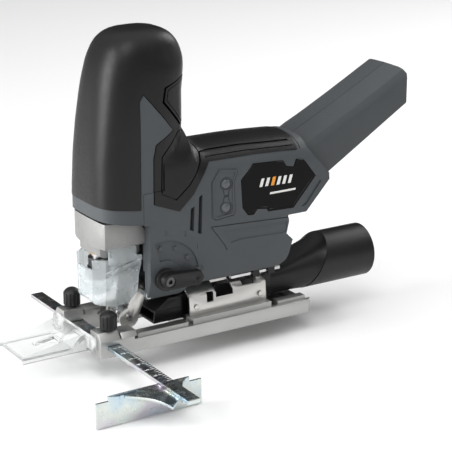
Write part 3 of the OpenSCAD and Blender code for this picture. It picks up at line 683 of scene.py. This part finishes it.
def surface_groove(outline, depth, width=0.7, low=-60, high=60):
    """A groove of one width and depth that follows an outline on the shell."""
    ring = cut(prism(grown(outline, width / 2), "y", low, high),
               prism(grown(outline, -width / 2), "y", low - 1, high + 1))
    return cut(ring, shell(-depth))


# %% Rubber skin
rubber = cut(shell(0.35), shell(-1.5))
rubber = keep(rubber, prism(grown(RUBBER, -0.12), "y", -60, 60))
strip_hole = both(lambda: tapered(STRIP, -32, -22, 1.6))
rubber = cut(rubber, strip_hole, prism(WINDOW, "y", -60, 60))
rubber = cut(rubber, surface_groove(PAD, 0.75, 0.8))
rubber = cut(rubber, both(lambda: cut(prism(band(SADDLE_LINE, 0.8), "y", -60, 0), shell(-0.75))))
rubber = cut(rubber, both(lambda: cut(prism(band(
    [(1.8, 116.4), (33, 116.2), (68.5, 114.6)], 0.5), "y", -60, 0), shell(-0.4))))
piece("soft_grip", rubber, "tool_body", "soft_grip", replaces=("grip_left", "grip_right"),
      smooth=40)

# %% [markdown]
# ## The hard shell
# The shell is the same loft with the rubber's pocket, the trigger window, the nose seat and the
# side details cut in. The details are shallow: lines, slots for air, a framed panel for two
# buttons, a dial with steps for the pendulum lever, and a framed well for the badge.

# %% Housing
BADGE = [(27.0, 79.5), (31.4, 73.9), (35.9, 73.7), (38.5, 77.0), (45.6, 76.0), (46.9, 74.0),
         (66.8, 73.3), (84.2, 92.6), (74.4, 105.2), (68.4, 106.2), (66.1, 101.6), (60.8, 102.6),
         (58.2, 106.8), (35.1, 108.0), (25.6, 98.4)]
PANEL = [(6.9, 74.7), (20.6, 76.0), (21.6, 78.0), (20.9, 98), (23.4, 104.5), (22.4, 106.8),
         (9.4, 108.3), (3.6, 100.4), (3.9, 77)]
NOSE_SEAT = [(-76, 60), (-41.2, 56), (-41.2, 76.2), (-45.2, 80), (-60, 82.5), (-76, 86)]


def side_cut(outline, depth):
    """A flat-bottomed recess in both sides of the body."""
    return both(lambda: prism(outline, "y", -40, -SIDE + depth))


def side_line(line, width, depth):
    return side_cut(band(line, width), depth)


pocket = cut(prism(RUBBER, "y", -60, 60), prism(grown(STRIP, 0.3), "y", -61, 61), shell(-1.55))
housing = cut(shell(0.0), pocket)
housing = cut(housing, prism(WINDOW, "y", -60, 60))
housing = cut(housing, shell(-4.1))
backing = both(lambda: prism([(-41, 29), (-20, 29), (-14, 35), (62, 35), (64, 52), (61, 69),
                              (78, 71), (92, 88), (70, 95), (-41, 95)], "y", -23.5, -19.2))
housing = join(housing, keep(shell(-0.01), backing))
housing = cut(housing, block(-90, -41.2, -60, 60, 20, 79.5), prism(NOSE_SEAT, "y", -60, 60))
housing = cut(housing, block(-60, -38, -17.5, 17.5, 20, 66.8))
housing = cut(housing, block(-60, -35.5, -17.5, 17.5, 20, 44))
housing = cut(housing, rod("x", (0, 0, 0), 34.1, -14, 70, 96))
print("housing body:", len(housing.faces))

# %% Side details
housing = cut(housing, side_cut(BADGE, 1.25))
housing = cut(housing, side_cut(PANEL, 0.45))
housing = cut(housing, side_cut([(-2.9, 93.6), (-3.6, 67.6), (-6.6, 68.3), (-5.5, 92.2)], 3.6),
              side_cut([(-8.7, 86.8), (-9.5, 70.4), (-12.5, 71.6), (-11.6, 85.5)], 3.6))
housing = cut(housing, side_cut([(86.9, 89.0), (88.7, 88.2), (77.2, 74.0), (73.2, 72.9)], 0.8))
housing = cut(housing, side_line([(3.2, 70.9), (63.5, 67.6)], 0.8, 0.6),
              side_line([(3.4, 70.6), (12.4, 58.4), (15.4, 53.6)], 0.8, 0.6))
housing = cut(housing, side_cut([(12.5, 66.6), (62.0, 64.6), (61.0, 57.4), (26.0, 58.8),
                                 (18.4, 57.4)], 0.45))
housing = cut(housing, side_line([(-35.5, 66.6), (-31, 67.4), (-25.5, 66.4), (-18.6, 62.8),
                                  (-13.0, 57.6), (-9.2, 51.4), (-7.4, 46.0)], 0.35, 0.3))
SEAMS = [[(64.4, 131), (72.9, 121.5), (73.6, 111.6)],
         [(69.2, 130), (78.6, 119.6), (80.4, 112), (82.0, 108.0), (94.4, 93.6)]]
for line in SEAMS:
    housing = cut(housing, cut(prism(band(line, 0.6), "y", -60, 60), shell(-0.5)))
DIAL = arc(-31, 42.5, 25.2, 8, 106, 14) + arc(-31, 42.5, 12.0, 106, 8, 10)
housing = cut(housing, both(lambda: prism(DIAL, "y", -40, -SIDE + 1.1)))
steps = [rod("y", (-31 + 20.5 * math.cos(math.radians(a)), 0, 42.5 + 20.5 * math.sin(
    math.radians(a))), 1.5, -SIDE - 0.15, -SIDE + 2, 20) for a in (97, 66, 34)]
housing = join(housing, loose(*steps))
housing = cut(housing, block(-41.3, -36, -16.2, 16.2, 45, 79))
piece("housing_shell", housing, "tool_body", "housing", replaces=("housing_left", "housing_right"),
      smooth=30)

# %% Trigger paddle
paddle = keep(cut(shell(0.55), shell(-3.2)), prism(PADDLE, "y", -60, 60))
paddle = cut(paddle, prism([(-60, 130), (-24, 130), (-24, 180), (-60, 180)], "y", -19, 19))
paddle = cut(paddle, surface_groove(grown(PADDLE, -1.6), 0.1, 0.5))
piece("trigger_paddle", paddle, "trigger", "soft_grip", replaces=("trigger",), smooth=36)

# %% [markdown]
# ## Numbers, badge and buttons
# The dial carries the numbers 0 to 3, moulded just proud of the shell. The badge is a black gloss
# plate with a simple pattern of bars, a plain decoration of its own. The buttons are small domes.

# %% Numbers
def number_mesh(text, size, depth):
    """A number as a closed mesh, lying in the X and Y plane around the origin."""
    curve = bpy.data.curves.new("number", "FONT")
    curve.body, curve.size, curve.extrude = text, size, depth
    curve.align_x = curve.align_y = "CENTER"
    curve.resolution_u = 3
    obj = bpy.data.objects.new("number", curve)
    bpy.context.scene.collection.objects.link(obj)
    shape = obj.evaluated_get(bpy.context.evaluated_depsgraph_get())
    mesh = bpy.data.meshes.new_from_object(shape)
    bm = bmesh.new()
    bm.from_mesh(mesh)
    bpy.data.objects.remove(obj)
    bpy.data.curves.remove(curve)
    bpy.data.meshes.remove(mesh)
    bmesh.ops.remove_doubles(bm, verts=bm.verts, dist=0.001)
    return bm


def number_on_side(text, x, z, size=5.2):
    bm = number_mesh(text, size, 0.25)
    bmesh.ops.rotate(bm, verts=bm.verts, cent=(0, 0, 0),
                     matrix=Matrix.Rotation(math.pi / 2, 3, "X"))
    bmesh.ops.translate(bm, verts=bm.verts, vec=(x, -SIDE, z))
    return bm


numbers = loose(*[number_on_side(t, x, z) for t, x, z in (
    ("3", -29.6, 72.4), ("2", -15.7, 69.4), ("1", -6.6, 59.4), ("0", -3.6, 44.6))])
piece("dial_numbers", numbers, "tool_body", "housing", smooth=30)

# %% Badge
plate = both(lambda: prism(grown(BADGE, -0.25), "y", -SIDE - 0.05, -SIDE + 1.15))
inner = both(lambda: prism(grown(BADGE, -1.5), "y", -SIDE - 0.5, -SIDE + 0.25))
piece("badge_gloss", cut(plate, inner), "tool_body", "badge", replaces=("badge_plates",),
      smooth=25, edge=0.15, segments=1)


def bars(places, colour, name):
    def make():
        return loose(*[prism([(x, z), (x + w, z), (x + w + lean, z + h), (x + lean, z + h)], "y",
                             -SIDE + 0.1, -SIDE + 0.3) for x, z, w, h, lean in places])
    piece(name, both(make), "tool_body", "badge", material=colour)


bars([(40, 91.5, 2.2, 5.4, 1.6), (44.4, 91.4, 2.2, 5.4, 1.6), (53.2, 91.0, 2.2, 5.4, 1.6),
      (57.6, 90.9, 2.2, 5.4, 1.6), (62, 90.8, 2.2, 5.4, 1.6), (48, 85.4, 20, 1.3, 0.4)],
     "white_mark", "badge_white_bars")
bars([(48.8, 91.2, 2.4, 5.6, 1.6)], "orange_mark", "badge_orange_bar")


# %% Buttons and their frame
def pill(x, z, width, up):
    """The rounded keyhole outline that frames one button."""
    tail = [(x - 1.3, z - up * 8.2), (x + 1.6, z - up * 8.2)]
    ring = arc(x, z, width, -60, 240, 20) if up > 0 else arc(x, z, width, 120, 420, 20)
    return ring + (tail if up > 0 else tail[::-1])


BUTTON_X, BUTTON_Z = 14.5, (97.6, 82.0)
panel = both(lambda: prism(grown(PANEL, -0.35), "y", -SIDE - 0.15, -SIDE + 0.5))
rim = both(lambda: cut(prism(grown(PANEL, -0.9), "y", -SIDE - 0.55, -SIDE + 0.2),
                       prism(grown(PANEL, -1.9), "y", -SIDE - 1, -SIDE + 0.3)))
panel = join(panel, rim)
for z, up in ((BUTTON_Z[0], 1), (BUTTON_Z[1], -1)):
    outline = pill(BUTTON_X, z, 4.4, up)
    panel = cut(panel, cut(prism(grown(outline, 0.35), "y", -40, -SIDE + 0.3),
                           prism(grown(outline, -0.35), "y", -41, -SIDE + 1)))
    panel = cut(panel, rod("y", (BUTTON_X, 0, z), 3.55, -40, -20, 40))
piece("button_frame", panel, "tool_body", "housing", replaces=("button_panel",), smooth=30)


def button(z):
    profile = [(0, -SIDE - 1.2), (1.6, -SIDE - 1.1), (2.6, -SIDE - 0.7), (3.2, -SIDE), (3.3, -26),
               (3.3, -22), (0, -22)]
    return turned(profile, "y", (BUTTON_X, 0, z), 40)


for name, z in (("upper_button", BUTTON_Z[0]), ("lower_button", BUTTON_Z[1])):
    piece(name + "_cap", button(z), name, "control_plastic", replaces=(name,), smooth=50)

# %% [markdown]
# ## The battery arm
# The arm rises back from the collar. Its top is a wide, slightly crowned face between two creases,
# and a channel under it takes the battery. It is a loft along the arm's own slope, cut off at the
# collar and at the curved end, with a fine seam down the middle.

# %% Arm
ALONG, UP = Vector((0.855, 0.518)), Vector((-0.518, 0.855))


def on_arm(along, up):
    return tuple(Vector((102.4, 94.4)) + ALONG * along + UP * up)


def arm_ring(along, top, half, crown):
    """A ring across the arm: flat sides, bevelled shoulders and a crowned top."""
    half_ring = [(0, 0.0), (half - 0.8, 0.0), (half, 0.8), (half, top - 6.0),
                 (half - 0.5, top - 4.2), (half - 3.4, top - 0.3), (half - 7, top + crown * 0.6),
                 (0, top + crown)]
    points = [(y, up) for y, up in half_ring] + [(-y, up) for y, up in half_ring[-2:0:-1]]
    return [(on_arm(along, up)[0], y, on_arm(along, up)[1]) for y, up in points]


arm_top = [(-16, 27.5), (-6, 27.0), (2, 26.6), (12, 25.4), (24, 24.4), (40, 23.2), (56, 22.2),
           (70, 21.4), (80, 20.8)]
arm = loft([arm_ring(a, t, 22.3, 1.4) for a, t in arm_top])
COLLAR_FACE = [(79, 112), (77.8, 123), (100, 150), (180, 170), (180, 100), (104, 80), (95.3, 88.5),
               (95, 93)]
arm = keep(arm, prism(COLLAR_FACE, "y", -40, 40))
arm = keep(arm, rod("z", (84, 0, 0), 80.6, 60, 180, 240), prism(
    [(60, 60), (170, 60), (166.4, 128), (161.8, 151), (158, 170), (60, 170)], "y", -40, 40))
channel = prism([on_arm(3, -8), on_arm(90, -8), on_arm(90, 9), on_arm(3, 9)], "y", -15.5, 15.5)
leads = prism([on_arm(-14, 11.5), on_arm(50, 11.5), on_arm(50, 14), on_arm(-14, 19)], "y", -18, 18)
arm = cut(arm, channel, leads)
arm = cut(arm, prism([on_arm(-40, 30), on_arm(90, 30), on_arm(90, 12), on_arm(-40, 12)], "y",
                     -0.15, 0.15))
piece("battery_arm", arm, "tool_body", "arm", replaces=("arm_left", "arm_right"), smooth=24)

# %% [markdown]
# ## The cast nose
# The nose is a light cast cap under the barrel with a crease where the bulging front meets the flat
# side. Two prisms from above, a wide one and a narrower foot, are limited by one outline from the
# side, and its sharp edges are bevelled.

# %% Nose
def nose_plan(half):
    """Seen from above: flat sides, a crease at each front corner and a bulging front."""
    side = [(-41.3, half), (-69.3, half), (-71.3, half * 0.74), (-72.7, half * 0.42),
            (-73.3, half * 0.15)]
    return side + [(x, -y) for x, y in side[::-1]]


nose = join(prism(nose_plan(20.4), "z", 66.2, 90), prism(nose_plan(13.3), "z", 50, 70))
nose = keep(nose, prism([(-76, 63.5), (-70, 60.5), (-66, 58.5), (-50, 58.5), (-44, 57),
                         (-41.3, 59), (-41.3, 75.8), (-45.4, 79.6), (-70.0, 82.9), (-76, 86)],
                        "y", -40, 40))
nose = cut(nose, block(-70.5, -43, -16, 16, 67.7, 100), rod("z", (-63.5, 0, 0), 6.3, 50, 70, 40))
piece("nose_cap", nose, "tool_body", "nose", replaces=("nose_casting",), edge=0.35)

# %% [markdown]
# ## The clear guard and the line guide
# The guard is a thin clear bowl with a creased front, open behind. It narrows downwards, and a
# ridge, a raised panel and a tab on each side stiffen it. It is an outer loft less an inner one.
# The line guide is a clear wedge with a slot and a notched tip.

# %% Clear guard
def guard_ring(z, half, front, shrink):
    """The outline of the guard at one height, shrunk inwards for the inner face."""
    half, front = half - shrink, front + shrink
    side = [(-36, half), (-66.5, half), (-73.6 + shrink * 0.6, half * 0.66), (front, half * 0.22)]
    return [(x, y, z) for x, y in side + [(x, -y) for x, y in side[::-1]]]


# Height, half width and front of the guard, from its top to its foot
GUARD_LEVELS = [(70.0, 17.2, -76.3), (58.5, 16.4, -76.2), (50.0, 15.6, -75.8), (36.0, 14.8, -75.0),
                (30.0, 14.2, -73.8), (22.0, 13.0, -72.0)]


def guard_bowl(shrink):
    return loft([guard_ring(z, half, front, shrink) for z, half, front in GUARD_LEVELS])


GUARD_SIDE = [(-77.5, 57.8), (-76.5, 36), (-72, 28.2), (-59, 25.4), (-50.5, 25.6), (-43.8, 33),
              (-43.2, 44), (-41.6, 52), (-41.6, 57.8)]
guard = cut(guard_bowl(0.0), guard_bowl(1.5))
guard = keep(guard, prism(GUARD_SIDE, "y", -40, 40))
ridge = cut(guard_bowl(-1.1), guard_bowl(0.8))
ridge = keep(ridge, prism([(-66, 47.6), (-41.6, 54.6), (-41.6, 56.4), (-66.6, 49.6)], "y", -40, 40))
stiff = cut(guard_bowl(-1.0), guard_bowl(0.8))
stiff = keep(stiff, prism([(-59, 46.4), (-44.6, 50.6), (-45.2, 33.5), (-51, 27.4), (-59, 27.2)],
                          "y", -40, 40))
tab = both(lambda: prism([(-65, 55), (-46, 55), (-46, 64.2), (-47.6, 65.8), (-63.4, 65.8),
                          (-65, 64.2)], "y", -17.6, -15.9))
guard = join(guard, ridge, stiff, tab)
guard = cut(guard, block(-80, -69, -10.5, 10.5, 51.5, 70))
piece("guard_bowl", guard, "blade_guard", "clear_plastic", replaces=("blade_guard",), smooth=8)

# %% Line guide
wedge = both(lambda: prism([(-126.5, 2.4), (-80.8, 2.4), (-80.8, 13), (-88, 13), (-126.5, 6.4)],
                           "y", -18.6, -17.0))
plate = prism([(-126.5, -17.4), (-126.5, 17.4), (-92, 17.4), (-92, -17.4)], "z", 4.2, 5.8)
ramp = both(lambda: prism([(-92.6, 4.2), (-84, 9.4), (-80.8, 9.4), (-80.8, 12.6), (-86, 12.6),
                           (-92.6, 5.8)], "y", -17.4, 0.3))
clips = both(lambda: block(-84, -80.8, -26.8, -16.9, 4.2, 12.8))
slot_rim = prism([(-111, -2), (-94, -6.4), (-92.4, -5), (-92.4, 5), (-94, 6.4), (-111, 2)], "z",
                 5.6, 6.8)
guide = join(plate, wedge, ramp, clips, slot_rim)
guide = cut(guide, prism([(-109.5, -1.2), (-94, -5.2), (-94, 5.2), (-109.5, 1.2)], "z", 0, 20))
for i in range(11):
    y = -15 + 3 * i
    guide = cut(guide, prism([(-128, y - 0.9), (-124.6, y), (-128, y + 0.9)], "z", 0, 20))
piece("guide_wedge", guide, "line_guide", "clear_plastic", material="guide_plastic",
      replaces=("line_guide",), edge=0.2, segments=1)

# %% [markdown]
# ## The dust duct
# The duct is a flat channel under the cradle with a sloping front, and it leads the dust from the
# blade back to the tube. A prism gives the front and a box the rest, because both are straight, and
# smaller ones hollow them out.

# %% Duct
duct = join(prism([(-34, 9.4), (-12, 9.4), (-12, 25), (-23, 25), (-33, 17.5)], "y", -17.2, 17.2),
            block(-12.2, 58, -13.5, 13.5, 9.4, 25))
duct = cut(duct, block(-40, -14, -15.6, 15.6, 11, 16.2), block(-20, 60, -11.9, 11.9, 11, 23.4),
           both(lambda: prism([(-31.6, 17.2), (-23.5, 23), (-14, 23), (-14, 17.2)], "y", -17.6,
                              -16.8)))
piece("duct_block", duct, "base", "black_plastic", replaces=("dust_duct",), edge=0.5)

# %% [markdown]
# ## The dust tube
# The tube is a plain cylinder cut off at a slant, and a scooped neck leads from that slant down to
# the flat duct. The neck is a loft whose rings shrink quickly at first, which gives the hollow
# sweep. Only the open end of the tube is bored out.

# %% Dust tube
TUBE_Z, TUBE_R, TUBE_WALL, TUBE_END, BORE_START = 23.9, 18.3, 2.0, 141.5, 114
SLANT_X, SLANT, NECK_SWEEP = 97.2, 0.56, 0.7
DUCT_END, DUCT_Z, DUCT_HALF_W, DUCT_HALF_H, DUCT_SQUARENESS = 58.0, 17.2, 13.4, 7.7, 0.35


def neck_ring(t):
    """A ring of the neck: t is 0 at the slanted edge of the tube and 1 at the flat duct."""
    ring = []
    for k in range(64):
        a = math.tau * k / 64
        c, s = math.cos(a), math.sin(a)
        r = TUBE_R - 0.15
        round_y, round_z = r * s, TUBE_Z + r * c
        slant_x = SLANT_X + SLANT * r * c
        flat_y = DUCT_HALF_W * math.copysign(abs(s) ** DUCT_SQUARENESS, s)
        flat_z = DUCT_Z + DUCT_HALF_H * math.copysign(abs(c) ** DUCT_SQUARENESS, c)
        w = t ** NECK_SWEEP
        ring.append((slant_x + (DUCT_END - slant_x) * t, round_y + (flat_y - round_y) * w,
                     round_z + (flat_z - round_z) * w))
    return ring


def tube_rod(radius, end):
    return rod("x", (0, 0, TUBE_Z), radius, 70, end, 96)


neck = loft([neck_ring(i / 14) for i in range(15)])
slant = prism([(60, -20), (75.1, -20), (118.4, 63.9), (60, 63.9)], "y", -40, 40)
bore = cut(tube_rod(TUBE_R - TUBE_WALL, TUBE_END + 1), block(60, BORE_START, -40, 40, -20, 60))
tube = cut(join(cut(tube_rod(TUBE_R, TUBE_END), slant), neck), bore)
piece("dust_tube_bent", tube, "base", "black_plastic", replaces=("dust_tube",), smooth=38)

# %% [markdown]
# ## The ruler on the fence bar
# The fence bar is printed with a short ruler: fine ticks along one edge and a number every ten
# millimetres. The ticks are thin raised strips, so that they stay crisp at any size.

# %% Ruler marks
BAR_TOP, BAR_EDGE, RULER_START, TICK_STEP = 7.8, -66.9, -36.5, 2.5
marks = []
for i in range(25):
    y = RULER_START - TICK_STEP * i
    long = 3.4 if i % 4 == 0 else 2.0
    marks.append(block(BAR_EDGE - long, BAR_EDGE, y - 0.22, y + 0.22, BAR_TOP - 0.02,
                       BAR_TOP + 0.06))
for i in range(6):
    digit = number_mesh(str(i + 1), 4.2, 0.03)
    bmesh.ops.rotate(digit, verts=digit.verts, cent=(0, 0, 0),
                     matrix=Matrix.Rotation(math.pi / 2, 3, "Z"))
    bmesh.ops.translate(digit, verts=digit.verts, vec=(-72.4, RULER_START - 10 * i,
                                                        BAR_TOP + 0.03))
    marks.append(digit)
piece("ruler_marks", loose(*marks), "fence", "fence_zinc", material="white_mark", smooth=30)

# %% [markdown]
# ## Copies of CAD parts
# The base, the bracket, the fence, the lever and the knobs already have the right shape, and only
# their edges are too sharp. A merged copy of the CAD mesh gets a small bevel on every sharp edge.

# %% Copies of CAD parts with rounded edges
def cad_copy(node):
    """A merged copy of a CAD node, in millimetres, ready to be worked on."""
    bm = bmesh.new()
    bm.from_mesh(nodes[node].data)
    bmesh.ops.remove_doubles(bm, verts=bm.verts, dist=1e-6)
    bmesh.ops.scale(bm, vec=(1 / MM,) * 3, verts=bm.verts)
    bmesh.ops.dissolve_limit(bm, angle_limit=math.radians(1.5), verts=bm.verts, edges=bm.edges)
    return bm


for node, body, slot, edge in (
        ("base_plate", "base", "base_cast", 0.3), ("cradle_bracket", "base", "bracket_sheet", 0.3),
        ("fence_bar", "fence", "fence_zinc", 0.25), ("fence_plate", "fence", "fence_zinc", 0.2),
        ("roller_bracket", "roller_bracket", "bracket_sheet", 0.2),
        ("pendulum_lever", "pendulum_lever", "black_plastic", 0.45),
        ("left_knob", "left_knob", "black_plastic", 0.2),
        ("right_knob", "right_knob", "black_plastic", 0.2)):
    piece(node + "_rounded", cad_copy(node), body, slot, replaces=(node,), edge=edge)

# %% Finishes for the CAD parts that stay
slots = {entry["node"]: entry["material_slot"] for entry in frame["record"]["subparts"]}
shown = [name for name, node in nodes.items() if not node.hide_render]
for name in shown:
    node = nodes[name]
    node.data.materials.clear()
    node.data.materials.append(finish[slots[name]])
print("CAD parts with a new finish:", len(shown))
